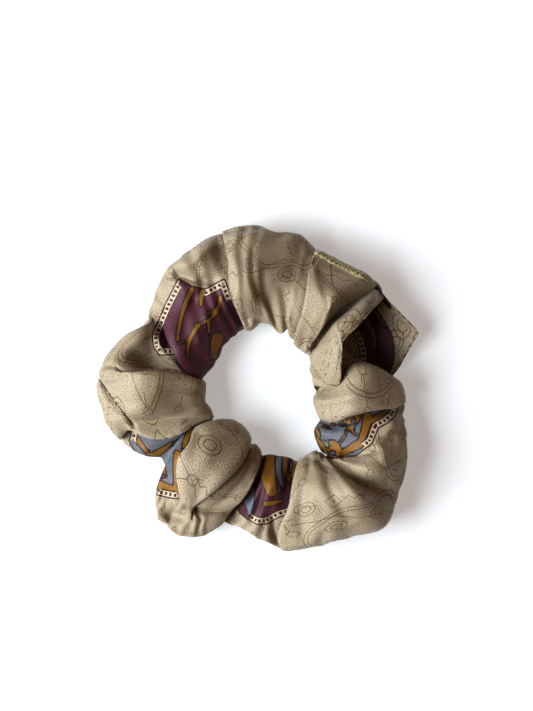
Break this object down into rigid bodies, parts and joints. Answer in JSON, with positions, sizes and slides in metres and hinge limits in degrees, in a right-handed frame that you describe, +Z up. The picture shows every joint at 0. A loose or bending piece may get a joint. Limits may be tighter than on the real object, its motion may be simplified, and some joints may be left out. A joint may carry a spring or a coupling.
{
  "type": "scrunchie",
  "caption": "Gathered silk scrunchie: a printed cloth tube bunched over a sewn elastic loop that stretches open to hold hair.",
  "frame": {"origin": "on the table under the middle of the ring's footprint", "axes": "+Z up through the hole, +X from the left half of the ring to the right half, which is the way it is pulled open"},
  "size_m": [0.1086, 0.1102, 0.028],
  "materials": {
    "printed_silk": "silk twill with a soft sheen, cream with line motifs and dark medallions",
    "elastic_braid": "ribbed braided elastic, matt off-white",
    "seam_thread": "spun polyester thread, matt cream",
    "closing_thread": "spun polyester thread, matt pale green"
  },
  "bodies": {
    "left_half": {"sleeve_left": "printed_silk", "side_seam_thread_left": "seam_thread", "elastic_left": "elastic_braid"},
    "right_half": {"sleeve_right": "printed_silk", "side_seam_thread_right": "seam_thread", "closing_seam_thread": "closing_thread", "cuff_hem_thread": "closing_thread", "elastic_right": "elastic_braid", "elastic_join_thread": "seam_thread"}
  },
  "joints": [
    {"name": "stretch", "type": "slide", "parent": "left_half", "child": "right_half", "axis": [1, 0, 0], "range_m": [0, 0.07], "stiffness_N_per_m": 70}
  ]
}
